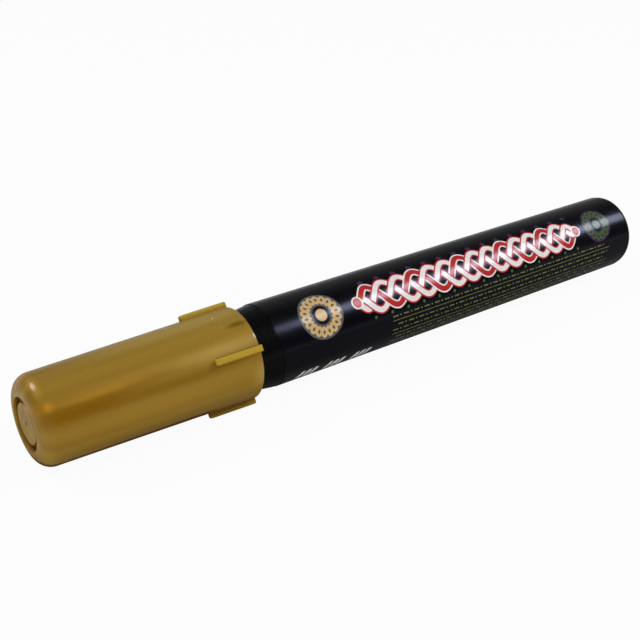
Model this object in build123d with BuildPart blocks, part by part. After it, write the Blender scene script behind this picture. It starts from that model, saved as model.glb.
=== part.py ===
# A valve-action liquid chalk marker, lying along X with its cap on.
# Millimetres, +Z up. X runs from the cap's closed end to the barrel's tail.
# The origin is under the middle of the marker, on the table it lies on.
import os
from math import cos, degrees, dist, pi, sin

from build123d import *

os.makedirs("parts", exist_ok=True)

# Whole marker
overall_length = 138.5  # from the cap's closed end to the barrel's tail
fit_clearance = 0.03  # radial room between two pieces that are pressed together
running_clearance = 0.06  # radial room between two pieces that slide on each other
seat_clearance = 0.05  # room between two faces that meet when the marker is closed
cut_overrun = 1.0  # how far a cut runs past the piece it cuts

# Barrel
barrel_radius = 7.9
neck_step = 0.6  # how much slimmer the neck is than the barrel
neck_wall = 1.1
tail_wall = 2.0
tail_round = 1.05
cone_length = 4.7  # from the shoulder forward to the neck
mouth_chamfer = 0.4
snap_groove_depth = 0.15
snap_groove_width_share = 0.134  # of the neck's length
snap_groove_setback_share = 0.19  # of the neck's length, from the foot of the cone

# Label film
film_thickness = 0.1
film_front_margin = 0.5
film_tail_margin = 0.4

# Cap shell
cap_length = 40.5
cap_wall = 1.11
cap_taper = 0.66  # how much slimmer the closed end is than the rim
cap_rim_round = 0.45
cap_end_wall = 1.8
cap_rim_overlap = 0.6  # how far the rim reaches past the foot of the cone
cap_mouth_clearance = 0.25
cap_mouth_chamfer = 0.3
cap_step = 0.75  # from the mouth's bore down to the deep bore
end_groove_share = 0.59  # of the closed end's radius
end_disc_share = 0.456  # of the closed end's radius
end_ring_flat = 0.48  # the flat ring left between the groove and the rounded edge
end_groove_depth = 0.9
end_disc_sink = 0.2
end_disc_round = 0.2
gate_radius = 0.45
gate_depth = 0.12

# Cap ribs
rib_count = 4
rib_turn = 59.6  # degrees from the top of the cap down to the first rib
rib_length = 9.3
rib_width = 1.2
rib_height = 1.0
rib_round = 0.3
rib_end_round = 0.4  # where a rib runs out towards the closed end

# Cap liner
liner_wall = 1.11
liner_floor = 0.8
liner_land_overlap = 4.5  # how much of the nose's land the liner covers
liner_lip_chamfer = 0.35

# Nose holder and its gasket
gasket_thickness = 0.6
gasket_width = 0.9
nose_flange_thickness = 1.5
nose_base_gap = 0.3  # room between the nose's base and the cap
nose_cone_length = 2.6
nose_land_length = 6.0
nose_taper_length = 6.0
nose_taper = 1.2  # how much slimmer the tip is than the land
nose_tip_round = 0.7
nose_plug_length = 9.0
nose_plug_chamfer = 0.4
nose_chamber_share = 0.697  # of the plug's radius
nose_slot_length = 10.3

# Nib
nib_tip_gap = 3.2  # room between the nib and the liner's floor
nib_width_share = 0.698  # of the chamber's diameter
nib_thickness_share = 0.465  # of the chamber's diameter
nib_corner = 0.7
nib_reach = 6.8  # how far the nib stands out of the nose
nib_tail = 3.0  # how far the nib reaches into the nose's chamber
nib_slant = 3.0  # how far the writing edge runs back across the width
nib_edge = 1.0  # thickness left at the writing edge
nib_bevel_length = 4.5
pump_travel = 2.5

# Valve housing
housing_gap = 0.6  # room left between the pressed nib and the housing
housing_front_wall = 1.2
housing_length = 18.0
housing_bore_share = 0.773  # of the housing's radius
housing_flange_share = 0.875  # of the nose plug's radius
housing_flange_thickness = 1.0
seat_hole_share = 0.515  # of the housing's bore

# Valve stem and its seal, with radii as shares of the housing's bore
stem_rod_share = 0.364
stem_head_share = 0.788
stem_head_thickness = 1.2
stem_tail_share = 0.303
stem_tail_length = 7.0
seal_share = 0.742
seal_thickness = 0.8

# Valve spring
wire_radius = 0.22
coil_share = 0.56  # from the spring's centre to the middle of its wire, of the housing's bore
coil_turns = 7

# Spring retainer, with its ports as shares of its radius
retainer_thickness = 1.5
retainer_port_share = 0.15
retainer_ring_share = 0.68
retainer_port_count = 6

# Mixing ball
ball_share = 0.484  # of the barrel's bore

# Radii, each worked out from the sizes above
film_radius = barrel_radius + film_thickness
neck_radius = barrel_radius - neck_step
bore_radius = neck_radius - neck_wall
cap_mouth_radius = neck_radius + cap_mouth_clearance
cap_rim_radius = cap_mouth_radius + cap_wall
cap_end_radius = cap_rim_radius - cap_taper
cap_deep_radius = cap_mouth_radius - cap_step
bead_radius = neck_radius + running_clearance
end_groove_radius = cap_end_radius * end_groove_share
cap_end_round = cap_end_radius - end_groove_radius - end_ring_flat
end_disc_radius = cap_end_radius * end_disc_share
liner_radius = cap_deep_radius - fit_clearance
liner_bore_radius = liner_radius - liner_wall
nose_land_radius = liner_bore_radius - running_clearance
nose_tip_radius = nose_land_radius - nose_taper
nose_base_radius = cap_deep_radius - nose_base_gap
nose_flange_radius = neck_radius
nose_plug_radius = bore_radius - fit_clearance
nose_chamber_radius = nose_plug_radius * nose_chamber_share
gasket_radius = nose_flange_radius
gasket_bore_radius = nose_flange_radius - gasket_width
nib_width = 2 * nose_chamber_radius * nib_width_share
nib_thickness = 2 * nose_chamber_radius * nib_thickness_share
housing_radius = nose_chamber_radius - fit_clearance
housing_bore_radius = housing_radius * housing_bore_share
housing_flange_radius = nose_plug_radius * housing_flange_share
seat_hole_radius = housing_bore_radius * seat_hole_share
stem_rod_radius = housing_bore_radius * stem_rod_share
stem_head_radius = housing_bore_radius * stem_head_share
stem_tail_radius = housing_bore_radius * stem_tail_share
seal_radius = housing_bore_radius * seal_share
seal_bore_radius = stem_rod_radius + fit_clearance
coil_radius = housing_bore_radius * coil_share
retainer_radius = housing_bore_radius - fit_clearance
retainer_hole_radius = stem_tail_radius + running_clearance
retainer_port_radius = retainer_radius * retainer_port_share
ball_radius = bore_radius * ball_share

# Places along X: first the cap, then what it covers, from its floor back to the valve
cap_end_x = -overall_length / 2
tail_x = overall_length / 2
rim_x = cap_end_x + cap_length
cap_floor_x = cap_end_x + cap_end_wall
liner_front_x = cap_floor_x + fit_clearance
liner_floor_x = liner_front_x + liner_floor
nib_tip_x = liner_floor_x + nib_tip_gap
nose_tip_x = nib_tip_x + nib_reach
land_front_x = nose_tip_x + nose_taper_length
land_rear_x = land_front_x + nose_land_length
liner_lip_x = land_front_x + liner_land_overlap
flange_front_x = land_rear_x + nose_cone_length
flange_rear_x = flange_front_x + nose_flange_thickness
cap_stop_x = flange_front_x - seat_clearance
mouth_x = flange_rear_x + gasket_thickness
plug_rear_x = mouth_x + nose_plug_length
chamber_front_x = nose_tip_x + nose_slot_length
nib_rear_x = chamber_front_x + nib_tail
housing_front_x = nib_rear_x + pump_travel + housing_gap
housing_seat_x = housing_front_x + housing_front_wall
housing_rear_x = housing_front_x + housing_length
housing_flange_x = plug_rear_x + fit_clearance
stem_front_x = nib_rear_x + seat_clearance
seal_front_x = housing_seat_x + seat_clearance
seal_rear_x = seal_front_x + seal_thickness
head_front_x = seal_rear_x + fit_clearance
head_rear_x = head_front_x + stem_head_thickness
stem_rear_x = head_rear_x + stem_tail_length
retainer_front_x = housing_rear_x - retainer_thickness

# Places along X: the barrel, from under the cap's rim to the tail
cone_foot_x = rim_x - cap_rim_overlap
shoulder_x = cone_foot_x + cone_length
neck_length = cone_foot_x - mouth_x
groove_rear_x = cone_foot_x - neck_length * snap_groove_setback_share
groove_front_x = groove_rear_x - neck_length * snap_groove_width_share
reservoir_end_x = tail_x - tail_wall
film_front_x = shoulder_x + film_front_margin
film_tail_x = tail_x - tail_round - film_tail_margin

# The marker lies on its cap's rim
axis_height = cap_rim_radius

# Section plane through the marker's axis: local x along the marker, local y the radius
section_plane = Plane(origin=(0, 0, axis_height), x_dir=(1, 0, 0), z_dir=(0, -1, 0))
pen_axis = Axis((0, 0, axis_height), (1, 0, 0))


def cross_plane(x):
    """The plane square to the marker at x, facing the tail."""
    return Plane(origin=(x, 0, axis_height), x_dir=(0, 1, 0), z_dir=(1, 0, 0))


def corner(section, x, radius):
    """The corner of a section that lies at x and this radius."""
    return section.vertices().sort_by_distance((x, radius, 0))[0]


def cap_radius_at(x):
    """The outside radius of the tapered cap at x."""
    return cap_end_radius + (cap_rim_radius - cap_end_radius) * (x - cap_end_x) / cap_length


# Barrel
with BuildPart() as barrel:
    with BuildSketch(section_plane) as barrel_section:
        with BuildLine():
            Polyline(
                (mouth_x, bore_radius),
                (mouth_x, neck_radius),
                (groove_front_x, neck_radius),
                (groove_front_x, neck_radius - snap_groove_depth),
                (groove_rear_x, neck_radius - snap_groove_depth),
                (groove_rear_x, neck_radius),
                (cone_foot_x, neck_radius),
                (shoulder_x, barrel_radius),
                (tail_x, barrel_radius),
                (tail_x, 0),
                (reservoir_end_x, 0),
                (reservoir_end_x, bore_radius),
                close=True,
            )
        make_face()
        fillet(corner(barrel_section, tail_x, barrel_radius), radius=tail_round)
        fillet(corner(barrel_section, reservoir_end_x, bore_radius), radius=tail_wall / 2)
        chamfer(corner(barrel_section, mouth_x, neck_radius), length=mouth_chamfer)
    revolve(axis=pen_axis)
barrel.part.label = "barrel"
export_step(barrel.part, "parts/barrel.step")

# Label film
with BuildPart() as label_film:
    with BuildSketch(section_plane):
        with BuildLine():
            Polyline(
                (film_front_x, barrel_radius),
                (film_front_x, film_radius),
                (film_tail_x, film_radius),
                (film_tail_x, barrel_radius),
                close=True,
            )
        make_face()
    revolve(axis=pen_axis)
label_film.part.label = "label_film"
export_step(label_film.part, "parts/label_film.step")

# One cap rib, upright, with its crest following the cap's taper
rib_start_x = rim_x - rib_length
rib_start_radius = cap_radius_at(rib_start_x)
rib_root_radius = (cap_mouth_radius + rib_start_radius) / 2
with BuildPart() as rib:
    with BuildSketch(section_plane) as rib_section:
        with BuildLine():
            Polyline(
                (rib_start_x, rib_root_radius),
                (rib_start_x, rib_start_radius + rib_height),
                (rim_x, cap_rim_radius + rib_height),
                (rim_x, rib_root_radius),
                close=True,
            )
        make_face()
        fillet(corner(rib_section, rib_start_x, rib_start_radius + rib_height), radius=rib_end_round)
    extrude(amount=rib_width / 2, both=True)
    crest_edges = rib.faces().sort_by(Axis.Z)[-1].edges()
    fillet(crest_edges.sort_by(Axis.X)[1:], radius=rib_round)

# Cap shell
bead_rear_x = groove_rear_x
bead_middle_x = (groove_front_x + groove_rear_x) / 2
bead_front_x = groove_front_x
with BuildPart() as cap_shell:
    with BuildSketch(section_plane) as cap_section:
        with BuildLine():
            Polyline(
                (cap_end_x + end_disc_sink, 0),
                (cap_end_x + end_disc_sink, end_disc_radius),
                (cap_end_x + end_groove_depth, end_disc_radius),
                (cap_end_x + end_groove_depth, end_groove_radius),
                (cap_end_x, end_groove_radius),
                (cap_end_x, cap_end_radius),
                (rim_x, cap_rim_radius),
                (rim_x, cap_mouth_radius),
                (bead_rear_x, cap_mouth_radius),
                (bead_middle_x, bead_radius),
                (bead_front_x, cap_mouth_radius),
                (cap_stop_x, cap_mouth_radius),
                (cap_stop_x, cap_deep_radius),
                (cap_floor_x, cap_deep_radius),
                (cap_floor_x, 0),
                close=True,
            )
        make_face()
        fillet(corner(cap_section, cap_end_x, cap_end_radius), radius=cap_end_round)
        fillet(corner(cap_section, rim_x, cap_rim_radius), radius=cap_rim_round)
        chamfer(corner(cap_section, rim_x, cap_mouth_radius), length=cap_mouth_chamfer)
        fillet(corner(cap_section, cap_end_x + end_disc_sink, end_disc_radius), radius=end_disc_round)
    revolve(axis=pen_axis)
    for rib_number in range(rib_count):
        add(rib.part.rotate(pen_axis, rib_turn + rib_number * degrees(2 * pi) / rib_count))
    with BuildSketch(cross_plane(cap_end_x + end_disc_sink - cut_overrun)):
        Circle(gate_radius)
    extrude(amount=cut_overrun + gate_depth, mode=Mode.SUBTRACT)
cap_shell.part.label = "cap_shell"
export_step(cap_shell.part, "parts/cap_shell.step")

# Cap liner
with BuildPart() as cap_liner:
    with BuildSketch(section_plane) as liner_section:
        with BuildLine():
            Polyline(
                (liner_front_x, 0),
                (liner_front_x, liner_radius),
                (liner_lip_x, liner_radius),
                (liner_lip_x, liner_bore_radius),
                (liner_floor_x, liner_bore_radius),
                (liner_floor_x, 0),
                close=True,
            )
        make_face()
        chamfer(corner(liner_section, liner_lip_x, liner_bore_radius), length=liner_lip_chamfer)
        chamfer(corner(liner_section, liner_lip_x, liner_radius), length=liner_lip_chamfer)
    revolve(axis=pen_axis)
cap_liner.part.label = "cap_liner"
export_step(cap_liner.part, "parts/cap_liner.step")

# Nose holder
with BuildPart() as nose_holder:
    with BuildSketch(section_plane) as nose_section:
        with BuildLine():
            Polyline(
                (nose_tip_x, 0),
                (nose_tip_x, nose_tip_radius),
                (land_front_x, nose_land_radius),
                (land_rear_x, nose_land_radius),
                (flange_front_x, nose_base_radius),
                (flange_front_x, nose_flange_radius),
                (flange_rear_x, nose_flange_radius),
                (flange_rear_x, nose_plug_radius),
                (plug_rear_x, nose_plug_radius),
                (plug_rear_x, nose_chamber_radius),
                (chamber_front_x, nose_chamber_radius),
                (chamber_front_x, 0),
                close=True,
            )
        make_face()
        fillet(corner(nose_section, nose_tip_x, nose_tip_radius), radius=nose_tip_round)
        chamfer(corner(nose_section, plug_rear_x, nose_plug_radius), length=nose_plug_chamfer)
    revolve(axis=pen_axis)
    with BuildSketch(cross_plane(nose_tip_x - cut_overrun)):
        RectangleRounded(
            nib_thickness + 2 * running_clearance,
            nib_width + 2 * running_clearance,
            nib_corner + running_clearance,
        )
    extrude(amount=nose_slot_length + 2 * cut_overrun, mode=Mode.SUBTRACT)
nose_holder.part.label = "nose_holder"
export_step(nose_holder.part, "parts/nose_holder.step")

# Mouth gasket
with BuildPart() as mouth_gasket:
    with BuildSketch(section_plane):
        with BuildLine():
            Polyline(
                (flange_rear_x, gasket_bore_radius),
                (flange_rear_x, gasket_radius),
                (mouth_x, gasket_radius),
                (mouth_x, gasket_bore_radius),
                close=True,
            )
        make_face()
    revolve(axis=pen_axis)
mouth_gasket.part.label = "mouth_gasket"
export_step(mouth_gasket.part, "parts/mouth_gasket.step")

# Nib: a rounded bar, its end cut to a slanted wedge
bevel_start_x = nib_tip_x + nib_slant + nib_bevel_length
with BuildPart() as nib:
    with BuildSketch(cross_plane(nib_tip_x)):
        RectangleRounded(nib_thickness, nib_width, nib_corner)
    extrude(amount=nib_rear_x - nib_tip_x)
    with BuildSketch(section_plane):
        with BuildLine():
            Polyline(
                (nib_tip_x, nib_width / 2),
                (nib_rear_x, nib_width / 2),
                (nib_rear_x, -nib_width / 2),
                (nib_tip_x + nib_slant, -nib_width / 2),
                close=True,
            )
        make_face()
    extrude(amount=nib_thickness, both=True, mode=Mode.INTERSECT)
    with BuildSketch(Plane.XY.offset(axis_height)):
        with BuildLine():
            Polyline(
                (nib_tip_x, nib_edge / 2),
                (bevel_start_x, nib_thickness / 2),
                (nib_rear_x, nib_thickness / 2),
                (nib_rear_x, -nib_thickness / 2),
                (bevel_start_x, -nib_thickness / 2),
                (nib_tip_x, -nib_edge / 2),
                close=True,
            )
        make_face()
    extrude(amount=nib_width, both=True, mode=Mode.INTERSECT)
nib.part.label = "nib"
export_step(nib.part, "parts/nib.step")

# Valve housing
with BuildPart() as valve_housing:
    with BuildSketch(section_plane):
        with BuildLine():
            Polyline(
                (housing_front_x, seat_hole_radius),
                (housing_front_x, housing_radius),
                (housing_flange_x, housing_radius),
                (housing_flange_x, housing_flange_radius),
                (housing_flange_x + housing_flange_thickness, housing_flange_radius),
                (housing_flange_x + housing_flange_thickness, housing_radius),
                (housing_rear_x, housing_radius),
                (housing_rear_x, housing_bore_radius),
                (housing_seat_x, housing_bore_radius),
                (housing_seat_x, seat_hole_radius),
                close=True,
            )
        make_face()
    revolve(axis=pen_axis)
valve_housing.part.label = "valve_housing"
export_step(valve_housing.part, "parts/valve_housing.step")

# Valve stem
with BuildPart() as valve_stem:
    with BuildSketch(section_plane) as stem_section:
        with BuildLine():
            Polyline(
                (stem_front_x, 0),
                (stem_front_x, stem_rod_radius),
                (head_front_x, stem_rod_radius),
                (head_front_x, stem_head_radius),
                (head_rear_x, stem_head_radius),
                (head_rear_x, stem_tail_radius),
                (stem_rear_x, stem_tail_radius),
                (stem_rear_x, 0),
                close=True,
            )
        make_face()
        chamfer(corner(stem_section, stem_rear_x, stem_tail_radius), length=stem_tail_radius / 2)
    revolve(axis=pen_axis)
valve_stem.part.label = "valve_stem"
export_step(valve_stem.part, "parts/valve_stem.step")

# Valve seal
with BuildPart() as valve_seal:
    with BuildSketch(section_plane):
        with BuildLine():
            Polyline(
                (seal_front_x, seal_bore_radius),
                (seal_front_x, seal_radius),
                (seal_rear_x, seal_radius),
                (seal_rear_x, seal_bore_radius),
                close=True,
            )
        make_face()
    revolve(axis=pen_axis)
valve_seal.part.label = "valve_seal"
export_step(valve_seal.part, "parts/valve_seal.step")

# Valve spring: one wire on a helix, each quarter turn drawn as two arcs that meet smoothly
coil_start_x = head_rear_x + wire_radius + seat_clearance
coil_end_x = retainer_front_x - wire_radius - seat_clearance
coil_rise = (coil_end_x - coil_start_x) / coil_turns
quarter_count = 4 * coil_turns


def coil_point(quarter):
    """A point on the spring's centre line, in quarter turns from its start."""
    angle = quarter * pi / 2
    return Vector(
        coil_start_x + coil_rise * quarter / 4,
        coil_radius * cos(angle),
        axis_height + coil_radius * sin(angle),
    )


def coil_direction(quarter):
    """The direction of the spring's centre line there."""
    angle = quarter * pi / 2
    return Vector(coil_rise / (2 * pi), -coil_radius * sin(angle), coil_radius * cos(angle)).normalized()


with BuildPart() as valve_spring:
    with BuildLine() as coil_line:
        for quarter in range(quarter_count):
            start = coil_point(quarter)
            end = coil_point(quarter + 1)
            start_way = coil_direction(quarter)
            end_way = coil_direction(quarter + 1)
            span = end - start
            turning = 1 - start_way.dot(end_way)
            along = span.dot(start_way + end_way)
            reach = (-along + (along**2 + 2 * turning * span.dot(span)) ** 0.5) / (2 * turning)
            middle = (start + end + (start_way - end_way) * reach) / 2
            first_arc = TangentArc(start, middle, tangent=start_way)
            TangentArc(middle, end, tangent=first_arc % 1)
    with BuildSketch(Plane(origin=coil_point(0), z_dir=coil_direction(0))):
        Circle(wire_radius)
    sweep(path=coil_line.line)
valve_spring.part.label = "valve_spring"
export_step(valve_spring.part, "parts/valve_spring.step")
print("spring: gap from turn to turn", round(dist(coil_point(0), coil_point(4)) - 2 * wire_radius, 3), "mm")

# Spring retainer
with BuildPart() as spring_retainer:
    with BuildSketch(cross_plane(retainer_front_x)):
        Circle(retainer_radius)
        Circle(retainer_hole_radius, mode=Mode.SUBTRACT)
        with PolarLocations(retainer_radius * retainer_ring_share, retainer_port_count):
            Circle(retainer_port_radius, mode=Mode.SUBTRACT)
    extrude(amount=retainer_thickness)
spring_retainer.part.label = "spring_retainer"
export_step(spring_retainer.part, "parts/spring_retainer.step")

# Mixing ball, lying in the bottom of the bore, rolled to the tail, which lies a little lower than the cap
ball_x = reservoir_end_x - ball_radius - seat_clearance
ball_travel = ball_x - ball_radius - seat_clearance - housing_rear_x
ball_height = axis_height - bore_radius + ball_radius + running_clearance
with BuildPart() as mixing_ball:
    with Locations((ball_x, 0, ball_height)):
        Sphere(ball_radius)
mixing_ball.part.label = "mixing_ball"
export_step(mixing_ball.part, "parts/mixing_ball.step")

# Sizes to read off when the record is written
print("stations from cap end:", {
    name: round(value - cap_end_x, 2)
    for name, value in {
        "rim": rim_x, "shoulder": shoulder_x, "mouth": mouth_x, "nose_tip": nose_tip_x, "nib_tip": nib_tip_x,
        "nib_rear": nib_rear_x, "housing_front": housing_front_x, "housing_rear": housing_rear_x,
        "plug_rear": plug_rear_x, "liner_lip": liner_lip_x, "film_front": film_front_x, "film_tail": film_tail_x,
    }.items()
})
print("ball x", round(ball_x, 3), "height", round(ball_height, 3), "travel", round(ball_travel, 3))
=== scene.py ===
# %% [markdown]
# # A liquid chalk marker
# The marker lies on a table with its cap on. A gold pearl cap covers the nib, and a black tube holds the ink.
# A printed film is wrapped round the tube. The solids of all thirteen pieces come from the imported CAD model,
# so this lesson adds what CAD leaves out: the finishes, the wrapped film with its print, and the light.

# %% Load the frame
import math

import bmesh
import bpy
from mathutils import Matrix, Vector


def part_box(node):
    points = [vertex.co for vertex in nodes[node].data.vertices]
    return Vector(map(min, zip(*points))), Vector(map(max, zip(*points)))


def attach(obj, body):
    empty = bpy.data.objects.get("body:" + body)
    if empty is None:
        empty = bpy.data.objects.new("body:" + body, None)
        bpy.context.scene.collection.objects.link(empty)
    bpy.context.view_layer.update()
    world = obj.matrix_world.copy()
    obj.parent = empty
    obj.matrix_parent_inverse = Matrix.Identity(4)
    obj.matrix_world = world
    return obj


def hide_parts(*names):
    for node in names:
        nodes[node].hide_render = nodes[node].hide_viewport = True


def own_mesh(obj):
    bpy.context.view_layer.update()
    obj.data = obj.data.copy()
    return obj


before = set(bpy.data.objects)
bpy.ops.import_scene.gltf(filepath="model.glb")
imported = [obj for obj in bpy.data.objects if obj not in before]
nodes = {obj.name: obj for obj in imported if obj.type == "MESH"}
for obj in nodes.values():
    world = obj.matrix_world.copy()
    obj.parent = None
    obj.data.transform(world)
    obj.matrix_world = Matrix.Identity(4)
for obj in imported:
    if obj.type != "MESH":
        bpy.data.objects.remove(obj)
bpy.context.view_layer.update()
print("nodes:", sorted(nodes))

# %% [markdown]
# ## Where things are
# A place on the marker is easiest to give as a maker would: millimetres from the cap's closed end, and an angle
# round the axis. The axis and the radii are read off the CAD nodes, so the looks follow the solids.

# %% Read the places off the solids
MM = 0.001
film_low, film_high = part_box("label_film")
tube_low, tube_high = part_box("barrel")
axis_z = (film_low.z + film_high.z) / 2
film_radius = (film_high.z - film_low.z) / 2
tube_radius = (tube_high.z - tube_low.z) / 2
cap_end_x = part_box("cap_shell")[0].x
film_front = (film_low.x - cap_end_x) / MM
film_tail = (film_high.x - cap_end_x) / MM


def on_marker(along, angle, radius):
    """A point: mm behind the cap's end, an angle in degrees (0 faces -Y, 90 is up), a radius in metres."""
    turn = math.radians(angle)
    return Vector((cap_end_x + along * MM, -radius * math.cos(turn), axis_z + radius * math.sin(turn)))


print("axis height", round(axis_z / MM, 3), "mm, film from", round(film_front, 2), "to", round(film_tail, 2), "mm")

# %% [markdown]
# ## The camera
# The marker's outline fixes the camera: its long edges run together towards the upper right, and the ellipse of
# the cap's rim shows how steeply the camera looks down. It stands before the cap, a hand's breadth above the
# table, with a lens a little longer than normal.

# %% Place the camera
camera_data = bpy.data.cameras.new("camera")
camera_data.sensor_width = 36.0
camera_data.lens = 58.7066
camera = bpy.data.objects.new("camera", camera_data)
camera.location = (-0.112736, -0.142516, 0.101638)
camera.rotation_euler = (math.radians(62.3588), 0.0, math.radians(-35.5830))
bpy.context.scene.collection.objects.link(camera)
bpy.context.scene.camera = camera
facing = math.degrees(math.atan2(camera.location.z - axis_z, -camera.location.y))
print("the side of the marker that faces the camera is at", round(facing, 1), "degrees")

# %% [markdown]
# ## Two helpers for node trees
# Blender's materials are trees of nodes. Two short helpers keep the rest of the lesson readable: one adds a node
# with its values, the other draws the links.

# %% Helpers for node trees
def add(tree, kind, inputs=None, **settings):
    """One node, with plain values for some of its inputs and its settings."""
    made = tree.nodes.new(kind)
    for name, value in settings.items():
        setattr(made, name, value)
    for name, value in (inputs or {}).items():
        made.inputs[name].default_value = value
    return made


def join(tree, *pairs):
    """Links sockets, each pair as (output, input)."""
    for output, target in pairs:
        tree.links.new(output, target)


# %% [markdown]
# ## The table
# The table is one white sheet that runs far past the picture. Lamps near the marker would leave its far end grey,
# so what the camera sees of it is mixed with an even white. The rest of the mix is the lit sheet, which keeps the
# marker's soft shadow. Reflections see the white too, but only away from the marker: close by they see a greyer
# sheet, so the underside of the glossy tube stays dark.

# %% Mix the table's white
WHITE_SHARE = 0.95  # of what the camera sees of the sheet
GREY_TO, WHITE_FROM = 0.05, 0.3  # metres beside the marker, where a reflection stops seeing grey and sees white
END_REACH, END_WHITE = 0.01, 0.6  # metres past the cap's end where it changes too, and by what share
table_material = bpy.data.materials.new("table")
table_material.use_nodes = True
sheet = table_material.node_tree
lit = sheet.nodes["Principled BSDF"]
lit.inputs["Roughness"].default_value = 0.8
lit.inputs["Specular IOR Level"].default_value = 0.1
white = add(sheet, "ShaderNodeEmission")
path = add(sheet, "ShaderNodeLightPath")
shade = add(sheet, "ShaderNodeMapRange", {"To Min": 0.70, "To Max": 0.30})
spot_on_sheet = add(sheet, "ShaderNodeSeparateXYZ")
aside = add(sheet, "ShaderNodeMath", operation="ABSOLUTE")
away = add(
    sheet,
    "ShaderNodeMapRange",
    {"From Min": GREY_TO, "From Max": WHITE_FROM},
    interpolation_type="SMOOTHSTEP",
)
past_end = add(
    sheet,
    "ShaderNodeMapRange",
    {"From Min": cap_end_x, "From Max": cap_end_x - END_REACH, "To Max": END_WHITE},
    interpolation_type="SMOOTHSTEP",
)
clear_of = add(sheet, "ShaderNodeMath", operation="MAXIMUM")
mirrored = add(sheet, "ShaderNodeMath", operation="ADD")
mirrored_away = add(sheet, "ShaderNodeMath", operation="MULTIPLY")
share = add(sheet, "ShaderNodeMath", {1: WHITE_SHARE}, operation="MULTIPLY_ADD", use_clamp=True)
mixed = add(sheet, "ShaderNodeMixShader")
join(sheet, (add(sheet, "ShaderNodeNewGeometry").outputs["Position"], spot_on_sheet.inputs[0]))
join(sheet, (spot_on_sheet.outputs["Y"], aside.inputs[0]), (aside.outputs[0], away.inputs["Value"]))
join(sheet, (path.outputs["Is Glossy Ray"], mirrored.inputs[0]))
join(sheet, (path.outputs["Is Transmission Ray"], mirrored.inputs[1]))
join(sheet, (spot_on_sheet.outputs["X"], past_end.inputs["Value"]))
join(sheet, (away.outputs[0], clear_of.inputs[0]), (past_end.outputs[0], clear_of.inputs[1]))
join(sheet, (mirrored.outputs[0], mirrored_away.inputs[0]), (clear_of.outputs[0], mirrored_away.inputs[1]))
join(sheet, (path.outputs["Is Camera Ray"], share.inputs[0]), (mirrored_away.outputs[0], share.inputs[2]))
join(sheet, (path.outputs["Is Glossy Ray"], shade.inputs["Value"]), (shade.outputs[0], lit.inputs["Base Color"]))
join(sheet, (share.outputs[0], mixed.inputs[0]), (lit.outputs[0], mixed.inputs[1]))
join(sheet, (white.outputs[0], mixed.inputs[2]))
join(sheet, (mixed.outputs[0], sheet.nodes["Material Output"].inputs["Surface"]))
print(table_material.name, "is mixed from", len(sheet.nodes), "nodes")

# %% Lay the table
TABLE_REACH = 4.0  # metres from the marker to the sheet's edges
table_corners = [(x * TABLE_REACH, y * TABLE_REACH, 0.0) for x, y in ((-1, -1), (1, -1), (1, 1), (-1, 1))]
table_mesh = bpy.data.meshes.new("table")
table_mesh.from_pydata(table_corners, [], [(0, 1, 2, 3)])
table_mesh.materials.append(table_material)
table = bpy.data.objects.new("table", table_mesh)
bpy.context.scene.collection.objects.link(table)
print("the table reaches", TABLE_REACH, "m to each side")

# %% [markdown]
# ## The light
# A glossy tube mirrors a lamp as a band along its length. Where the band lies tells where the lamp is: halfway
# between the camera and the lamp, seen along the axis. So a slim, slightly blue strip lamp hangs on the right.
# A round tube throws light from the left past the camera, so the other lamps stand there: they light the cap
# and the table, and leave no band of their own. One is a broad, low one that fills the cap's side and its end,
# so soft that no reflection of it shows.
# A dim room, brighter behind the marker, fills the rest. The camera sees a white wall past the table's edge.

# %% Hang the lamps
def lamp(name, direction, distance, size, radiance, colour, mirrored=True):
    """A rectangular lamp that faces the marker's middle, with its long side turned towards the marker's axis."""
    back = Vector(direction).normalized()
    along = Vector((1.0, 0.0, 0.0))
    side = (along - back * along.dot(back)).normalized()
    top = back.cross(side)
    place = Vector((0.0, 0.0, axis_z)) + back * distance
    data = bpy.data.lights.new(name, "AREA")
    data.shape = "RECTANGLE"
    data.size, data.size_y = size
    data.energy = radiance * math.pi * size[0] * size[1]
    data.color = colour
    thing = bpy.data.objects.new(name, data)
    rows = [(side[i], top[i], back[i], place[i]) for i in range(3)]
    thing.matrix_world = Matrix(rows + [(0.0, 0.0, 0.0, 1.0)])
    thing.visible_glossy = mirrored
    bpy.context.scene.collection.objects.link(thing)
    light = radiance * size[0] * size[1] / distance**2
    print(name, "gives", round(light * back.z, 2), "on the table")


# name, direction, distance in metres, size in metres, radiance, colour
lamp("strip_lamp", (0.652, -0.389, 0.651), 0.65, (0.28, 0.16), 15.5, (0.82, 0.88, 1.0))
lamp("front_lamp", (-0.23, -0.57, 0.79), 1.0, (0.6, 0.6), 0.5, (1.0, 0.97, 0.92))
lamp("fill_lamp", (-0.55, -0.81, 0.22), 1.1, (1.2, 0.46), 4.3, (1.0, 0.93, 0.82), mirrored=False)
lamp("back_lamp", (-0.46, 0.50, 0.73), 0.9, (0.28, 0.28), 14.5, (1.0, 0.98, 0.95))
bpy.context.scene.view_settings.view_transform = "Standard"

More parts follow.
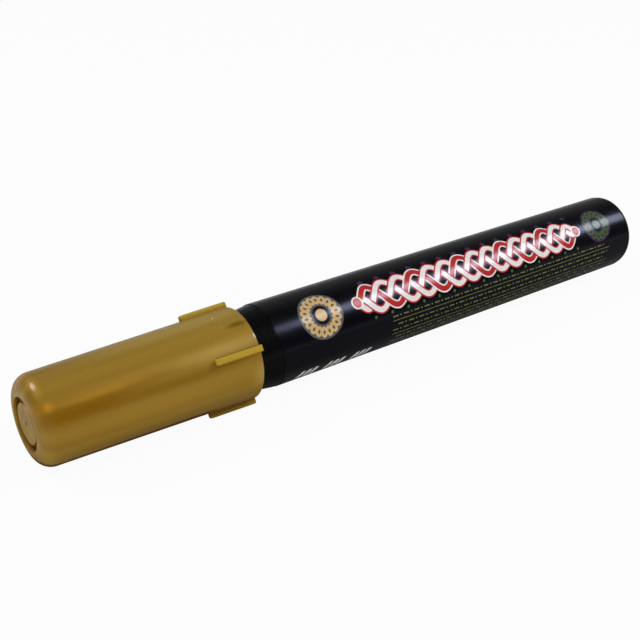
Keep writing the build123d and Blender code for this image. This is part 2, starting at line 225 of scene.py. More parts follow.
# %% Light the room
ROOM_FRONT, ROOM_BACK = 0.10, 0.26  # the room's strength before the marker and behind it
ROOM_SEEN = 0.97  # what the camera sees past the table
world = bpy.data.worlds.new("room")
bpy.context.scene.world = world
world.use_nodes = True
room = world.node_tree.nodes["Background"]
room.inputs["Color"].default_value = (1.0, 1.0, 1.0, 1.0)
ray = add(world.node_tree, "ShaderNodeSeparateXYZ")
behind = add(
    world.node_tree,
    "ShaderNodeMapRange",
    {"From Min": 0.15, "From Max": 0.65, "To Min": ROOM_FRONT, "To Max": ROOM_BACK},
)
join(world.node_tree, (add(world.node_tree, "ShaderNodeTexCoord").outputs["Generated"], ray.inputs[0]))
seen = add(world.node_tree, "ShaderNodeMix", {"B": ROOM_SEEN}, data_type="FLOAT")
seen_by = add(world.node_tree, "ShaderNodeLightPath")
join(world.node_tree, (ray.outputs["Y"], behind.inputs["Value"]), (behind.outputs[0], seen.inputs["A"]))
join(world.node_tree, (seen_by.outputs["Is Camera Ray"], seen.inputs["Factor"]))
join(world.node_tree, (seen.outputs["Result"], room.inputs["Strength"]))
print("the room's strength runs from", ROOM_FRONT, "to", ROOM_BACK)

# %% [markdown]
# ## Shared effects
# Moulded plastic is never quite even. Pigment is drawn out in streaks along the flow, the skin has a fine grain,
# and handling leaves smears. Each of these effects is made once, as a node group with its own inputs, and every
# material places it with its own values.

# %% A helper for shader groups
def new_effect(name, inputs, output):
    """An empty shader group. An input given as None is a vector, the others are numbers with that start value."""
    made = bpy.data.node_groups.new(name, "ShaderNodeTree")
    for title, value in inputs.items():
        kind = "NodeSocketVector" if value is None else "NodeSocketFloat"
        socket = made.interface.new_socket(title, in_out="INPUT", socket_type=kind)
        if value is not None:
            socket.default_value = value
    made.interface.new_socket(output, in_out="OUTPUT", socket_type="NodeSocketFloat")
    given = made.nodes.new("NodeGroupInput").outputs
    result = made.nodes.new("NodeGroupOutput").inputs[0]
    return made, given, result


# %% Flow streaks: noise drawn out along the marker
tree, given, result = new_effect(
    "flow_streaks", {"Place": None, "Along": 12.0, "Across": 420.0, "Detail": 3.0}, "Streak"
)
stretch = add(tree, "ShaderNodeCombineXYZ")
scaled = add(tree, "ShaderNodeVectorMath", operation="MULTIPLY")
noise = add(tree, "ShaderNodeTexNoise", {"Scale": 1.0, "Roughness": 0.55})
spread = add(tree, "ShaderNodeMapRange", {"From Min": 0.3, "From Max": 0.7}, interpolation_type="SMOOTHSTEP")
join(tree, (given["Along"], stretch.inputs["X"]), (given["Across"], stretch.inputs["Y"]))
join(tree, (given["Across"], stretch.inputs["Z"]), (given["Place"], scaled.inputs[0]))
join(tree, (stretch.outputs[0], scaled.inputs[1]), (scaled.outputs[0], noise.inputs["Vector"]))
join(tree, (given["Detail"], noise.inputs["Detail"]), (noise.outputs["Fac"], spread.inputs["Value"]))
join(tree, (spread.outputs[0], result))

# %% Moulded skin: a fine grain over a slow waviness
tree, given, result = new_effect(
    "moulded_skin", {"Place": None, "Grain": 3500.0, "Wave": 90.0, "Wave share": 0.5}, "Height"
)
grain = add(tree, "ShaderNodeTexNoise", {"Detail": 2.0})
wave = add(tree, "ShaderNodeTexNoise", {"Detail": 1.0})
blend = add(tree, "ShaderNodeMix", data_type="FLOAT")
join(tree, (given["Place"], grain.inputs["Vector"]), (given["Grain"], grain.inputs["Scale"]))
join(tree, (given["Place"], wave.inputs["Vector"]), (given["Wave"], wave.inputs["Scale"]))
join(tree, (given["Wave share"], blend.inputs["Factor"]), (grain.outputs["Fac"], blend.inputs["A"]))
join(tree, (wave.outputs["Fac"], blend.inputs["B"]), (blend.outputs["Result"], result))

# %% Handling: smears from fingers, broken up by fine rub marks
tree, given, result = new_effect("handling", {"Place": None, "Smears": 70.0, "Rubs": 900.0}, "Mask")
smears = add(tree, "ShaderNodeTexNoise", {"Detail": 4.0, "Roughness": 0.6})
rubs = add(tree, "ShaderNodeTexNoise", {"Detail": 2.0})
clear = add(tree, "ShaderNodeMapRange", {"From Min": 0.42, "From Max": 0.68})
both = add(tree, "ShaderNodeMath", operation="MULTIPLY")
join(tree, (given["Place"], smears.inputs["Vector"]), (given["Smears"], smears.inputs["Scale"]))
join(tree, (given["Place"], rubs.inputs["Vector"]), (given["Rubs"], rubs.inputs["Scale"]))
join(tree, (smears.outputs["Fac"], clear.inputs["Value"]), (clear.outputs[0], both.inputs[0]))
join(tree, (rubs.outputs["Fac"], both.inputs[1]), (both.outputs[0], result))

# %% Mottle: pigment or ink that has taken unevenly
tree, given, result = new_effect("mottle", {"Place": None, "Fineness": 2200.0}, "Mask")
speck = add(tree, "ShaderNodeTexNoise", {"Detail": 3.0, "Roughness": 0.65})
even = add(tree, "ShaderNodeMapRange", {"From Min": 0.35, "From Max": 0.7})
join(tree, (given["Place"], speck.inputs["Vector"]), (given["Fineness"], speck.inputs["Scale"]))
join(tree, (speck.outputs["Fac"], even.inputs["Value"]), (even.outputs[0], result))

# %% Spot: a soft mark round one point, drawn out along the marker
tree, given, result = new_effect("spot", {"Place": None, "Centre": None, "Long": 0.002, "Wide": 0.0005}, "Mask")
away = add(tree, "ShaderNodeVectorMath", operation="SUBTRACT")
reach = add(tree, "ShaderNodeCombineXYZ")
share = add(tree, "ShaderNodeVectorMath", operation="DIVIDE")
length = add(tree, "ShaderNodeVectorMath", operation="LENGTH")
fade = add(tree, "ShaderNodeMapRange", {"From Min": 1.0, "From Max": 0.0}, interpolation_type="SMOOTHERSTEP")
join(tree, (given["Place"], away.inputs[0]), (given["Centre"], away.inputs[1]))
join(tree, (given["Long"], reach.inputs["X"]), (given["Wide"], reach.inputs["Y"]), (given["Wide"], reach.inputs["Z"]))
join(tree, (away.outputs[0], share.inputs[0]), (reach.outputs[0], share.inputs[1]))
join(tree, (share.outputs[0], length.inputs[0]), (length.outputs["Value"], fade.inputs["Value"]))
join(tree, (fade.outputs[0], result))

# %% Soaked: ink that has crept along the marker from one place to another, with a ragged front
tree, given, result = new_effect("soaked", {"Place": None, "From": 0.0, "To": 0.01, "Ragged": 0.002}, "Mask")
apart = add(tree, "ShaderNodeSeparateXYZ")
creep = add(tree, "ShaderNodeTexNoise", {"Scale": 700.0, "Detail": 3.0})
shift = add(tree, "ShaderNodeMath", operation="MULTIPLY_ADD")
fade = add(tree, "ShaderNodeMapRange", {"To Min": 1.0, "To Max": 0.0}, interpolation_type="SMOOTHSTEP")
join(tree, (given["Place"], apart.inputs[0]), (given["Place"], creep.inputs["Vector"]))
join(tree, (creep.outputs["Fac"], shift.inputs[0]), (given["Ragged"], shift.inputs[1]))
join(tree, (apart.outputs["X"], shift.inputs[2]))
join(tree, (shift.outputs[0], fade.inputs["Value"]), (given["From"], fade.inputs["From Min"]))
join(tree, (given["To"], fade.inputs["From Max"]), (fade.outputs[0], result))
print("effects:", [g.name for g in bpy.data.node_groups])

# %% [markdown]
# ## Helpers for finishes
# Every finish is built in the same few steps: a shader with its plain values, the effects with theirs, and what
# the effects do to the colour, the gloss and the skin. Each step is one short helper.

# %% Helpers for finishes
SKIN_DEPTH = 0.2 * MM  # how deep the skin of a moulded piece goes


def finish(name, **values):
    """A new material: it, its tree, its shader with plain values set, and the place on the piece in object space."""
    made = bpy.data.materials.new(name)
    made.use_nodes = True
    shader = made.node_tree.nodes["Principled BSDF"]
    for title, value in values.items():
        shader.inputs[title.replace("_", " ")].default_value = value
    place = add(made.node_tree, "ShaderNodeTexCoord").outputs["Object"]
    return made, made.node_tree, shader, place


def use(tree, effect, place, **values):
    """Places a shared effect in a material with its own values, and returns what it puts out."""
    made = add(tree, "ShaderNodeGroup", node_tree=bpy.data.node_groups[effect])
    join(tree, (place, made.inputs["Place"]))
    for title, value in values.items():
        made.inputs[title.replace("_", " ")].default_value = value
    return made.outputs[0]


def tint(tree, mask, first, second):
    """Mixes two colours by a mask. Each is a colour or a socket."""
    made = add(tree, "ShaderNodeMix", data_type="RGBA")
    for socket, value in zip([s for s in made.inputs if s.type == "RGBA"], (first, second)):
        if isinstance(value, tuple):
            socket.default_value = (*value, 1.0)
        else:
            join(tree, (value, socket))
    join(tree, (mask, made.inputs["Factor"]))
    return [s for s in made.outputs if s.type == "RGBA"][0]


def span(tree, mask, low, high):
    """Turns a mask from 0 to 1 into a value from low to high."""
    made = add(tree, "ShaderNodeMapRange", {"To Min": low, "To Max": high})
    join(tree, (mask, made.inputs["Value"]))
    return made.outputs[0]


def overlap(tree, first, second):
    """The part that two masks share."""
    made = add(tree, "ShaderNodeMath", operation="MULTIPLY")
    join(tree, (first, made.inputs[0]), (second, made.inputs[1]))
    return made.outputs[0]


def bump(tree, height, shader, strength, depth=SKIN_DEPTH):
    """Feeds a height into the shader's normal through a Bump node."""
    made = add(tree, "ShaderNodeBump", {"Strength": strength, "Distance": depth})
    join(tree, (height, made.inputs["Height"]), (made.outputs[0], shader.inputs["Normal"]))


def dress(node_name, material):
    """Gives a CAD node one material."""
    for slot in nodes[node_name].material_slots:
        slot.material = material
    print(node_name, "wears", material.name)


# %% [markdown]
# ## The gold cap
# The cap is polypropylene moulded with gold pearl pigment. The flakes lie along the flow, so the colour runs in
# lengthwise streaks, pale where the flakes face the light and brown where they turn away. A part-metallic
# shader with streaks in its colour and its gloss does that. The ribs' crests carry a painted highlight. A few
# soft marks are set: the line near the rim where the flows met, a pit and a speck, and beside them painted light
# and shade: darker bands and pale streaks that stand in for reflections, glints, a lighter top, painted shade in
# the gate dimple, and painted shade on the underside that lies on the table. The groove round the disc in the
# cap's end is darkened by some dirt and by painted shade.

# %% Crest: a mask for what stands out past a radius from the marker's axis
tree, given, result = new_effect("crest", {"Place": None, "Axis height": 0.0, "From": 0.0, "To": 1.0}, "Mask")
apart = add(tree, "ShaderNodeSeparateXYZ")
level = add(tree, "ShaderNodeMath", operation="SUBTRACT")
square = add(tree, "ShaderNodeCombineXYZ")
length = add(tree, "ShaderNodeVectorMath", operation="LENGTH")
fade = add(tree, "ShaderNodeMapRange", interpolation_type="SMOOTHSTEP")
join(tree, (given["Place"], apart.inputs[0]), (apart.outputs["Y"], square.inputs["Y"]))
join(tree, (apart.outputs["Z"], level.inputs[0]), (given["Axis height"], level.inputs[1]))
join(tree, (level.outputs[0], square.inputs["Z"]))
join(tree, (square.outputs[0], length.inputs[0]), (length.outputs["Value"], fade.inputs["Value"]))
join(tree, (given["From"], fade.inputs["From Min"]), (given["To"], fade.inputs["From Max"]))
join(tree, (fade.outputs[0], result))
print("effects:", [g.name for g in bpy.data.node_groups])

# %% Mix the gold
gold, tree, shader, place = finish("gold_pearl", Specular_IOR_Level=0.05, Coat_Roughness=0.2)
broad = use(tree, "flow_streaks", place, Along=9.0, Across=260.0, Detail=1.5)
fine = use(tree, "flow_streaks", place, Along=25.0, Across=1500.0, Detail=4.0)
colour = tint(tree, broad, (0.290, 0.162, 0.018), (0.400, 0.258, 0.036))
colour = tint(tree, span(tree, fine, 0.0, 0.18), colour, (0.335, 0.182, 0.010))
flakes = use(tree, "mottle", place, Fineness=1500.0)
colour = tint(tree, span(tree, flakes, 0.0, 0.26), colour, (0.270, 0.150, 0.014))
print("the gold has", len(tree.nodes), "nodes so far")

# %% Paint shade on the cap's underside and a highlight on its ribs
OVERHEAD = 50.0 * MM  # an axis this high above the table has only the cap's underside far from it
RIBS_FROM, RIBS_ALL = 30.0 * MM, 32.0 * MM  # from the cap's end
# painted shade: the underside, which lies on the table, is darkened and loses its metal and coat
under = use(tree, "crest", place, Axis_height=OVERHEAD, From=46.55 * MM, To=47.3 * MM)
before_ribs = use(tree, "soaked", place, From=cap_end_x + RIBS_FROM, To=cap_end_x + RIBS_ALL, Ragged=0.0)
painted_underside_shade = overlap(tree, under, before_ribs)
colour = tint(tree, span(tree, painted_underside_shade, 0.0, 0.92), colour, (0.060, 0.018, 0.001))
# painted highlight: the ribs' crests are lightened
painted_rib_highlight = use(tree, "crest", place, Axis_height=axis_z, From=8.8 * MM, To=9.3 * MM)
colour = tint(tree, span(tree, painted_rib_highlight, 0.0, 0.85), colour, (0.520, 0.335, 0.030))
print("the gold has", len(tree.nodes), "nodes so far")

# %% Set the marks on the gold
# mm from the cap's end, angle, radius in mm, length and width in mm, strength, colour
for along, angle, radius, long, wide, strength, shade in (
    # painted shade: two darker brown bands along the cap, where the pearl mirrors the dark room
    (6.0, 28.0, 8.5, 24.0, 3.0, 1.00, (0.240, 0.108, 0.001)),
    (28.0, 23.0, 8.5, 26.0, 1.8, 0.75, (0.235, 0.115, 0.006)),
    # painted light: a paler band on the side that faces the camera
    (22.0, 4.0, 8.5, 45.0, 3.2, 0.38, (0.470, 0.290, 0.030)),
    # painted reflections: two orange glints on the rounded end, and an orange highlight streak at 41 degrees
    (2.0, 43.0, 8.2, 1.9, 1.4, 0.75, (0.600, 0.260, 0.003)),
    (0.6, 41.0, 7.2, 0.9, 0.9, 0.50, (0.500, 0.220, 0.003)),
    (10.0, 41.0, 8.5, 14.0, 1.3, 0.60, (0.490, 0.255, 0.018)),
    # painted reflection: a dark patch on the end's rounded edge
    (0.5, 64.0, 7.0, 1.4, 3.0, 0.60, (0.200, 0.105, 0.004)),
    # painted highlights: a pale streak at 41 degrees near the rim, and a paler band along the top
    (33.0, 41.0, 8.5, 14.0, 2.0, 0.60, (0.470, 0.310, 0.070)),
    (30.0, 96.0, 8.5, 34.0, 3.4, 0.75, (0.460, 0.325, 0.075)),
    # painted shade on the underside, over the low rib too
    (20.0, -60.0, 8.7, 60.0, 4.8, 0.80, (0.115, 0.055, 0.004)),
    # painted highlights: a paler patch on the rim facing the camera, and a glint on the rim's edge
    (40.3, -2.0, 8.6, 3.5, 3.8, 0.60, (0.500, 0.350, 0.075)),
    (40.4, 47.0, 8.6, 0.7, 0.8, 0.75, (0.800, 0.740, 0.600)),
    # the cap's own marks: the line near the rim where the flows met, a pit, and a pale speck
    (38.4, 67.4, 8.5, 3.4, 1.0, 1.00, (0.180, 0.100, 0.005)),
    (39.1, 61.5, 8.5, 0.5, 0.5, 0.60, (0.230, 0.135, 0.010)),
    (35.3, 89.8, 8.5, 0.3, 0.3, 1.00, (0.850, 0.780, 0.620)),
    # painted shade in the gate dimple in the middle of the end
    (0.3, 0.0, 0.0, 0.6, 0.7, 0.70, (0.170, 0.100, 0.008)),
):
    centre = on_marker(along, angle, radius * MM)
    mark = use(tree, "spot", place, Centre=centre, Long=long * MM, Wide=wide * MM)
    colour = tint(tree, span(tree, mark, 0.0, strength), colour, shade)
print("the gold has", len(tree.nodes), "nodes with its marks")

# %% Darken the groove and finish the cap
# the groove is darkened: some dirt, and painted shade in the recess
deep = use(tree, "soaked", place, From=cap_end_x + 0.7 * MM, To=cap_end_x + 0.2 * MM, Ragged=0.0)
inside = use(tree, "crest", place, Axis_height=axis_z, From=5.1 * MM, To=4.7 * MM)
groove_dirt_and_shade = overlap(tree, deep, inside)
colour = tint(tree, span(tree, groove_dirt_and_shade, 0.0, 0.85), colour, (0.110, 0.040, 0.001))
join(tree, (colour, shader.inputs["Base Color"]), (span(tree, broad, 0.60, 0.52), shader.inputs["Roughness"]))
join(tree, (span(tree, painted_underside_shade, 0.3, 0.0), shader.inputs["Metallic"]))
join(tree, (span(tree, painted_underside_shade, 0.45, 0.05), shader.inputs["Coat Weight"]))
bump(tree, use(tree, "moulded_skin", place, Grain=2600.0, Wave=120.0), shader, 0.12)
dress("cap_shell", gold)

# %% [markdown]
# ## The black tube
# The tube is moulded in the same plastic, coloured black. Where it shows, on the cone behind the cap and round
# the tail, its skin is satin and a little grey from handling.

# %% Mix the black
black, tree, shader, place = finish("tube_black", Specular_IOR_Level=0.15)
marks = use(tree, "handling", place, Smears=120.0)
colour = tint(tree, marks, (0.0014, 0.0012, 0.0015), (0.0028, 0.0026, 0.0030))
join(tree, (colour, shader.inputs["Base Color"]), (span(tree, marks, 0.24, 0.34), shader.inputs["Roughness"]))
bump(tree, use(tree, "moulded_skin", place), shader, 0.1)
dress("barrel", black)

# %% [markdown]
# ## The film
# The label is a black plastic film, a tenth of a millimetre thick, wound once round the tube so that its end
# laps over its start on the back. A plain pipe would have no lap, so the film is built here as one wound strip:
# for each step round the tube it has an inner and an outer radius, and over the lap both rise by the film.

# %% Wind the film
FILM_STEPS = 256  # round the tube
FILM_RUNS = 12  # along it
LAP_START = 205.0  # degrees
LAP_WIDE = 11.0
LAP_EASE = 3.0  # degrees over which the film climbs on to its own start
AIR = 0.001 * MM  # under the film, so that no two faces lie in one place
FILM_SKEW = 0.4  # mm, because a wrap's edge is never quite square
film_thick = film_radius - tube_radius
film_loop = []
step = 360.0 / FILM_STEPS
for i in range(FILM_STEPS + round(LAP_WIDE / step) + 1):
    over = min(max((i * step - 360.0 + LAP_EASE) / LAP_EASE, 0.0), 1.0)
    rise = over * over * (3.0 - 2.0 * over) * (film_thick + 2.0 * AIR)
    film_loop.append((LAP_START + i * step, tube_radius + AIR + rise, film_radius + rise))
print("the film is", round(film_thick / MM, 3), "mm thick and has", len(film_loop), "steps")


# %% Helpers for thin closed solids
SHARP = math.radians(40.0)  # edges past this angle stay crisp


def grid_faces(rows, columns, start=0, flip=False, ring=False):
    """The quads of a grid of points numbered row by row. A ring joins its last row to its first."""
    faces = []
    for r in range(rows if ring else rows - 1):
        for c in range(columns - 1):
            corners = [r * columns + c, r * columns + c + 1]
            after = (r + 1) % rows
            corners += [after * columns + c + 1, after * columns + c]
            corners = [start + n for n in corners]
            faces.append(corners[::-1] if flip else corners)
    return faces


def closed_sheet(tops, bottoms, ring=False):
    """Points and faces of a closed thin solid between two grids of the same size, given as lists of rows."""
    rows, columns = len(tops), len(tops[0])
    points = [p for row in tops for p in row] + [p for row in bottoms for p in row]
    under = rows * columns
    faces = grid_faces(rows, columns, ring=ring) + grid_faces(rows, columns, start=under, flip=True, ring=ring)
    edges = [[r * columns for r in range(rows)], [r * columns + columns - 1 for r in range(rows)]]
    if ring:
        edges = [edge + edge[:1] for edge in edges]
    else:
        edges += [list(range(columns)), [(rows - 1) * columns + c for c in range(columns)]]
    for edge in edges:
        faces += [[a, b, b + under, a + under] for a, b in zip(edge, edge[1:])]
    return points, faces


def new_piece(name, points, faces, material):
    """A mesh piece of the label: smooth, with sharp edges past an angle. It rides the barrel."""
    mesh = bpy.data.meshes.new(name)
    mesh.from_pydata(points, [], faces)
    work = bmesh.new()
    work.from_mesh(mesh)
    bmesh.ops.recalc_face_normals(work, faces=work.faces)
    work.to_mesh(mesh)
    work.free()
    mesh.shade_smooth()
    mesh.set_sharp_from_angle(angle=SHARP)
    mesh.materials.append(material)
    piece = bpy.data.objects.new(name, mesh)
    bpy.context.scene.collection.objects.link(piece)
    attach(piece, "barrel")
    print(name, "has", len(mesh.polygons), "faces")
    return piece


# %% Finish the film
BLUISH = (0.70, 0.73, 1.0, 1.0)
FILM_SMEARS = 60.0
FILM_ROUGH = (0.24, 0.31)  # clean and smeared
film_black, tree, shader, place = finish("film_black", Specular_IOR_Level=0.26, Specular_Tint=BLUISH)
marks = use(tree, "handling", place, Smears=FILM_SMEARS)
colour = tint(tree, marks, (0.0010, 0.0009, 0.0013), (0.0021, 0.0020, 0.0027))
join(tree, (colour, shader.inputs["Base Color"]), (span(tree, marks, *FILM_ROUGH), shader.inputs["Roughness"]))
print("mixed", film_black.name)

# %% Build the film
outer = []
inner = []
for angle, low, high in film_loop:
    front = film_front - FILM_SKEW * math.sin(math.radians(angle))
    rows = [front + (film_tail - front) * i / FILM_RUNS for i in range(FILM_RUNS + 1)]
    outer.append([on_marker(row, angle, high) for row in rows])
    inner.append([on_marker(row, angle, low) for row in rows])
film = new_piece("film_wrap", *closed_sheet(outer, inner), film_black)
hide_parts("label_film")

# %% [markdown]
# ## The print
# The print is a plain ornament, the same on both sides of the marker: a plait of three ribbons, a rosette at each
# end, and lines of stitches with slanted bars below. Printing ink stands on the film as a layer a few
# hundredths of a millimetre thick. Each colour is therefore one mesh of closed, very thin solids: it is drawn
# flat in millimetres, along the film and round it, and then bent round the tube. One layer lies over another.

# %% Draw on the flat film
inks = {}
INK_FLAT = 0.008  # mm that plain ink stands over the film
INK_SEAT = 0.01  # mm that every ink reaches into it
HALF_TURN = math.pi * film_radius / MM


def lay(ink, rows, heights=INK_FLAT, ring=False):
    """Adds one closed patch of ink: rows of points (along, round) and a height for all or each, in mm."""
    if not isinstance(heights, list):
        heights = [heights] * len(rows)
    tops = []
    bottoms = []
    for row, height in zip(rows, heights):
        angles = [math.degrees(across * MM / film_radius) for along, across in row]
        tops.append([on_marker(p[0], a, film_radius + height * MM) for p, a in zip(row, angles)])
        bottoms.append([on_marker(p[0], a, film_radius - INK_SEAT * MM) for p, a in zip(row, angles)])
    points, faces = closed_sheet(tops, bottoms, ring)
    all_points, all_faces = inks.setdefault(ink, ([], []))
    start = len(all_points)
    all_points += points
    all_faces += [[start + n for n in face] for face in faces]


def ribbon(path, width, parts=4, ring=False):
    """Rows of points of a stripe that follows a flat path."""
    rows = []
    last = len(path) - 1
    for i, (along, across) in enumerate(path):
        before = path[i - 1] if ring or i > 0 else path[0]
        after = path[(i + 1) % len(path)] if ring or i < last else path[last]
        run, rise = after[0] - before[0], after[1] - before[1]
        size = math.hypot(run, rise)
        offsets = [width * (k / parts - 0.5) / size for k in range(parts + 1)]
        rows.append([(along - rise * o, across + run * o) for o in offsets])
    return rows


def patch(shape, parts=4):
    """Rows of points of a small filled shape, from a square of -1 to 1 by a rule that moves each point."""
    steps = [2.0 * k / parts - 1.0 for k in range(parts + 1)]
    return [[shape(x, y) for y in steps] for x in steps]


def disc(along, across, radius, parts=6):
    """Rows of points of a round dot."""
    return patch(
        lambda x, y: (
            along + radius * x * math.sqrt(1 - y * y / 2),
            across + radius * y * math.sqrt(1 - x * x / 2),
        ),
        parts,
    )


def lozenge(along, across, long, wide):
    """Rows of points of a lozenge of the given length and width."""
    return patch(lambda x, y: (along + (x + y) * long / 4, across + (x - y) * wide / 4))


def bar(along, across):
    """Rows of points of a slanted bar."""
    return patch(lambda x, y: (along + 0.40 * x + 0.60 * y, across + 1.0 * y))


def tell(what):
    """Prints how many faces each ink has so far."""
    print(what, {ink: len(faces) for ink, (points, faces) in inks.items()})


# %% Plait three ribbons
FACE_SIDE = math.radians(46.0) * film_radius / MM
PLAIT_FROM, PLAIT_TO = 63.0, 122.0
PLAIT_PITCH = 11.8
PLAIT_REACH = 2.65
PLAIT_CLOSE = 3.4  # mm, over which the ribbons run together at each end
PLAIT_HIGH, PLAIT_WEAVE = 0.024, 0.010  # mm over the film, and mm by which a ribbon goes over or under another
RIBBON, OUTLINE = 1.05, 1.65  # widths in mm
OVER_OUTLINE = 0.006  # mm from an outline up to its ribbon
STEPS = 240
SIDES = (FACE_SIDE, FACE_SIDE + HALF_TURN)
ribbon_inks = (("red", "white"), ("white", "red"), ("white", "red"))
for middle in SIDES:
    for strand, (body, edge) in enumerate(ribbon_inks):
        path = []
        heights = []
        for i in range(STEPS + 1):
            along = PLAIT_FROM + (PLAIT_TO - PLAIT_FROM) * i / STEPS
            turn = 2 * math.pi * ((along - PLAIT_FROM) / PLAIT_PITCH + strand / 3)
            closing = min(along - PLAIT_FROM, PLAIT_TO - along, PLAIT_CLOSE) / PLAIT_CLOSE
            reach = PLAIT_REACH * math.sin(closing * math.pi / 2)
            path.append((along, middle + reach * math.sin(turn)))
            heights.append(PLAIT_HIGH + PLAIT_WEAVE * math.tanh(2.5 * math.sin(2 * turn)))
        lay(edge, ribbon(path, OUTLINE), heights)
        lay(body, ribbon(path, RIBBON), [h + OVER_OUTLINE for h in heights])
    for along in (PLAIT_FROM, PLAIT_TO):
        lay("white", disc(along, middle, 1.25), 0.042)
        lay("red", disc(along, middle, 0.95), 0.048)
tell("plaited:")

# %% Turn the rosettes
ROSETTE_STEPS = 180
RING_AT, RING_WIDE = 0.70, 0.60  # shares of a rosette's size, as the next ones are
WAVE_REACH, WAVE_WIDE = 0.17, 0.11
DOT = 0.26
WAVE_HIGH, WAVE_WEAVE, DOT_HIGH = 0.020, 0.004, 0.014  # mm over the film


def rosette(middle_along, middle, size, ground, line, petals):
    """A ring of ground colour with two interlaced wavy lines round it, and a dot in the middle."""
    turns = [2 * math.pi * i / ROSETTE_STEPS for i in range(ROSETTE_STEPS)]
    reach = RING_AT * size
    circle = [(middle_along + reach * math.cos(t), middle + reach * math.sin(t)) for t in turns]
    lay(ground, ribbon(circle, RING_WIDE * size, 8, ring=True), ring=True)
    for sign in (1, -1):
        wavy = []
        for t in turns:
            reach = size * (RING_AT + sign * WAVE_REACH * math.cos(petals * t))
            wavy.append((middle_along + reach * math.cos(t), middle + reach * math.sin(t)))
        heights = [WAVE_HIGH + sign * WAVE_WEAVE * math.sin(petals * t) for t in turns]
        lay(line, ribbon(wavy, WAVE_WIDE * size, ring=True), heights, ring=True)
    lay(line, disc(middle_along, middle, DOT * size), DOT_HIGH)


for middle in SIDES:
    rosette(54.8, middle, 4.6, "grey", "tan", 9)
    rosette(128.6, middle, 3.9, "purple", "green", 7)
tell("with rosettes:")

# %% Stitch the lines below
LINES_FROM, LINES_TO = 70.0, 131.0  # mm from the cap's end
LINE_WIDE = 0.13
STITCH_PITCH = 2.6
STITCHES = ((0.0, 1.25, 0.24), (1.75, 2.05, 0.30))  # from and to within the pitch, and the width, in mm
for middle in SIDES:
    for drop in (5.6, 8.6, 11.6):
        line = [(LINES_FROM + i, middle - drop) for i in range(round(LINES_TO - LINES_FROM) + 1)]
        lay("olive", ribbon(line, LINE_WIDE, 1))
    for row, drop in enumerate((4.75, 6.5, 7.6, 9.5, 10.6)):
        along = LINES_FROM + 1.2 * (row % 2)
        while along < LINES_TO - 2.0:
            for start, end, wide in STITCHES:
                stitch = [(along + start, middle - drop), (along + end, middle - drop)]
                lay("olive", ribbon(stitch, wide, 1))
            along += STITCH_PITCH
tell("with stitches:")

# %% Set the small marks
CROSSINGS = 15  # of the plait's ribbons, each with a mark above it and one below
BARS_FROM, BAR_GROUP, BAR_PITCH = 49.4, 6.2, 1.45  # mm: from the cap's end, group to group, bar to bar
BARS_DROP = 11.3
for middle in SIDES:
    for i in range(CROSSINGS):
        along = PLAIT_FROM + PLAIT_PITCH * (i / 3 + 1 / 12)
        lay("purple", lozenge(along + 2.1, middle + 3.9, 1.5, 1.1))
        lay("green", disc(along + 2.1, middle - 3.7, 0.32, 4))
    for group in range(3):
        for i in range(3):
            lay("white", bar(BARS_FROM + BAR_GROUP * group + BAR_PITCH * i, middle - BARS_DROP))
tell("with small marks:")

# %% [markdown]
# ## The inks
# Each ink is printed under the same clear skin as the film, so it has the film's gloss and only its colour
# differs. Ink takes unevenly on film, which shows as a fine mottle.

# %% Mix the inks
THIN_SHARE = 0.86  # of an ink's colour, where it has taken thinly
INK_COLOURS = {
    "white": (0.80, 0.77, 0.77),
    "red": (0.46, 0.022, 0.022),
    "tan": (0.62, 0.42, 0.18),
    "grey": (0.105, 0.10, 0.115),
    "olive": (0.15, 0.165, 0.045),
    "purple": (0.055, 0.016, 0.065),
    "green": (0.045, 0.11, 0.028),
}
for ink, colour in INK_COLOURS.items():
    material, tree, shader, place = finish("ink_" + ink, Specular_IOR_Level=0.35)
    mask = use(tree, "mottle", place)
    thin = tuple(THIN_SHARE * c for c in colour)
    marks = use(tree, "handling", place, Smears=FILM_SMEARS)
    join(tree, (tint(tree, mask, colour, thin), shader.inputs["Base Color"]))
    join(tree, (span(tree, marks, *FILM_ROUGH), shader.inputs["Roughness"]))
    new_piece("print_" + ink, *inks[ink], material)

# %% [markdown]
# ## Under the cap
# Pulling the cap shows the nose and the nib. The nib is bonded fibre, so it is streaked along its length, and
# gold ink has soaked into its tip. The nose is black, with ink round its slot. The liner inside the cap is
# natural plastic, stained where the nib rests.

# %% Finish the nib
nib_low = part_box("nib")[0]
fibre, tree, shader, place = finish("nib_fibre", Roughness=0.9, Specular_IOR_Level=0.2)
strands = use(tree, "flow_streaks", place, Along=60.0, Across=4200.0, Detail=4.0)
ink_in = use(tree, "soaked", place, From=nib_low.x, To=nib_low.x + 9.0 * MM, Ragged=3.0 * MM)
colour = tint(tree, strands, (0.62, 0.53, 0.36), (0.78, 0.70, 0.53))
colour = tint(tree, span(tree, ink_in, 0.0, 0.9), colour, (0.34, 0.20, 0.035))
join(tree, (colour, shader.inputs["Base Color"]))
bump(tree, strands, shader, 0.5, 0.1 * MM)
dress("nib", fibre)

# %% Finish the nose
nose_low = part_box("nose_holder")[0]
nose_black, tree, shader, place = finish("nose_black", Specular_IOR_Level=0.35)
marks = use(tree, "handling", place, Smears=200.0)
ink_on = use(tree, "soaked", place, From=nose_low.x - 1.0 * MM, To=nose_low.x + 2.2 * MM, Ragged=4.0 * MM)
colour = tint(tree, marks, (0.012, 0.012, 0.013), (0.022, 0.022, 0.024))
colour = tint(tree, span(tree, ink_on, 0.0, 0.7), colour, (0.26, 0.155, 0.03))
join(tree, (colour, shader.inputs["Base Color"]), (span(tree, marks, 0.4, 0.5), shader.inputs["Roughness"]))
bump(tree, use(tree, "moulded_skin", place), shader, 0.1)
dress("nose_holder", nose_black)

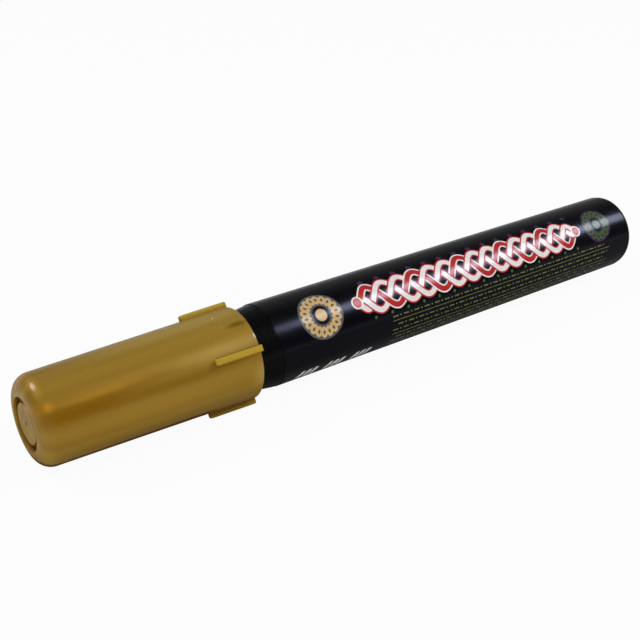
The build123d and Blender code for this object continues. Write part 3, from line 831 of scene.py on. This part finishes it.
# %% Finish the liner
liner_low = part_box("cap_liner")[0]
liner_white, tree, shader, place = finish("liner_natural", Specular_IOR_Level=0.4)
streaks = use(tree, "flow_streaks", place, Along=30.0, Across=500.0)
ink_on = use(tree, "soaked", place, From=liner_low.x, To=liner_low.x + 7.0 * MM, Ragged=6.0 * MM)
colour = tint(tree, streaks, (0.72, 0.71, 0.66), (0.79, 0.78, 0.73))
colour = tint(tree, span(tree, ink_on, 0.0, 0.45), colour, (0.40, 0.26, 0.06))
join(tree, (colour, shader.inputs["Base Color"]), (span(tree, streaks, 0.45, 0.38), shader.inputs["Roughness"]))
bump(tree, use(tree, "moulded_skin", place), shader, 0.1)
dress("cap_liner", liner_white)

# %% [markdown]
# ## The valve
# Behind the nib sits the valve: a housing, a stem and a spring seat of natural acetal, rubber seals, a spring of
# drawn wire and a polished ball. They are hidden, and still get their own finish, so that a cut-open view or an
# exploded one shows what they are made of. The spring stands on its seat, and closes as the stem comes back.

# %% Finish the acetal and rubber pieces
for node_name, pale in (("valve_housing", 0.76), ("valve_stem", 0.80), ("spring_retainer", 0.74)):
    acetal, tree, shader, place = finish("acetal_" + node_name, Specular_IOR_Level=0.5)
    streaks = use(tree, "flow_streaks", place, Along=80.0, Across=700.0)
    colour = tint(tree, streaks, (0.94 * pale, 0.94 * pale, 0.90 * pale), (pale, pale, 0.97 * pale))
    join(tree, (colour, shader.inputs["Base Color"]), (span(tree, streaks, 0.42, 0.34), shader.inputs["Roughness"]))
    bump(tree, use(tree, "moulded_skin", place), shader, 0.08)
    dress(node_name, acetal)
for node_name, dark in (("mouth_gasket", 0.018), ("valve_seal", 0.026)):
    rubber, tree, shader, place = finish("rubber_" + node_name, Specular_IOR_Level=0.3)
    bloom = use(tree, "handling", place, Smears=400.0, Rubs=3000.0)
    colour = tint(tree, bloom, (dark, dark, dark), (2.2 * dark, 2.2 * dark, 2.3 * dark))
    join(tree, (colour, shader.inputs["Base Color"]), (span(tree, bloom, 0.62, 0.8), shader.inputs["Roughness"]))
    bump(tree, use(tree, "moulded_skin", place, Grain=6000.0), shader, 0.2)
    dress(node_name, rubber)

# %% Finish the spring
wire, tree, shader, place = finish("spring_wire", Metallic=1.0)
drawn = use(tree, "handling", place, Smears=900.0, Rubs=6000.0)
colour = tint(tree, drawn, (0.56, 0.56, 0.56), (0.44, 0.43, 0.42))
join(tree, (colour, shader.inputs["Base Color"]), (span(tree, drawn, 0.22, 0.36), shader.inputs["Roughness"]))
dress("valve_spring", wire)

# %% Copy the spring
coil_mesh = nodes["valve_spring"].data.copy()
coil_mesh.materials.clear()
coil_mesh.materials.append(wire)
coil = bpy.data.objects.new("spring_coil", coil_mesh)
bpy.context.scene.collection.objects.link(coil)
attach(coil, "barrel")
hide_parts("valve_spring")
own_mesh(coil)

# %% Finish the ball
steel, tree, shader, place = finish("polished_steel", Metallic=1.0)
wet = use(tree, "handling", place, Smears=500.0)
colour = tint(tree, wet, (0.66, 0.66, 0.66), (0.55, 0.54, 0.52))
join(tree, (colour, shader.inputs["Base Color"]), (span(tree, wet, 0.06, 0.16), shader.inputs["Roughness"]))
dress("mixing_ball", steel)
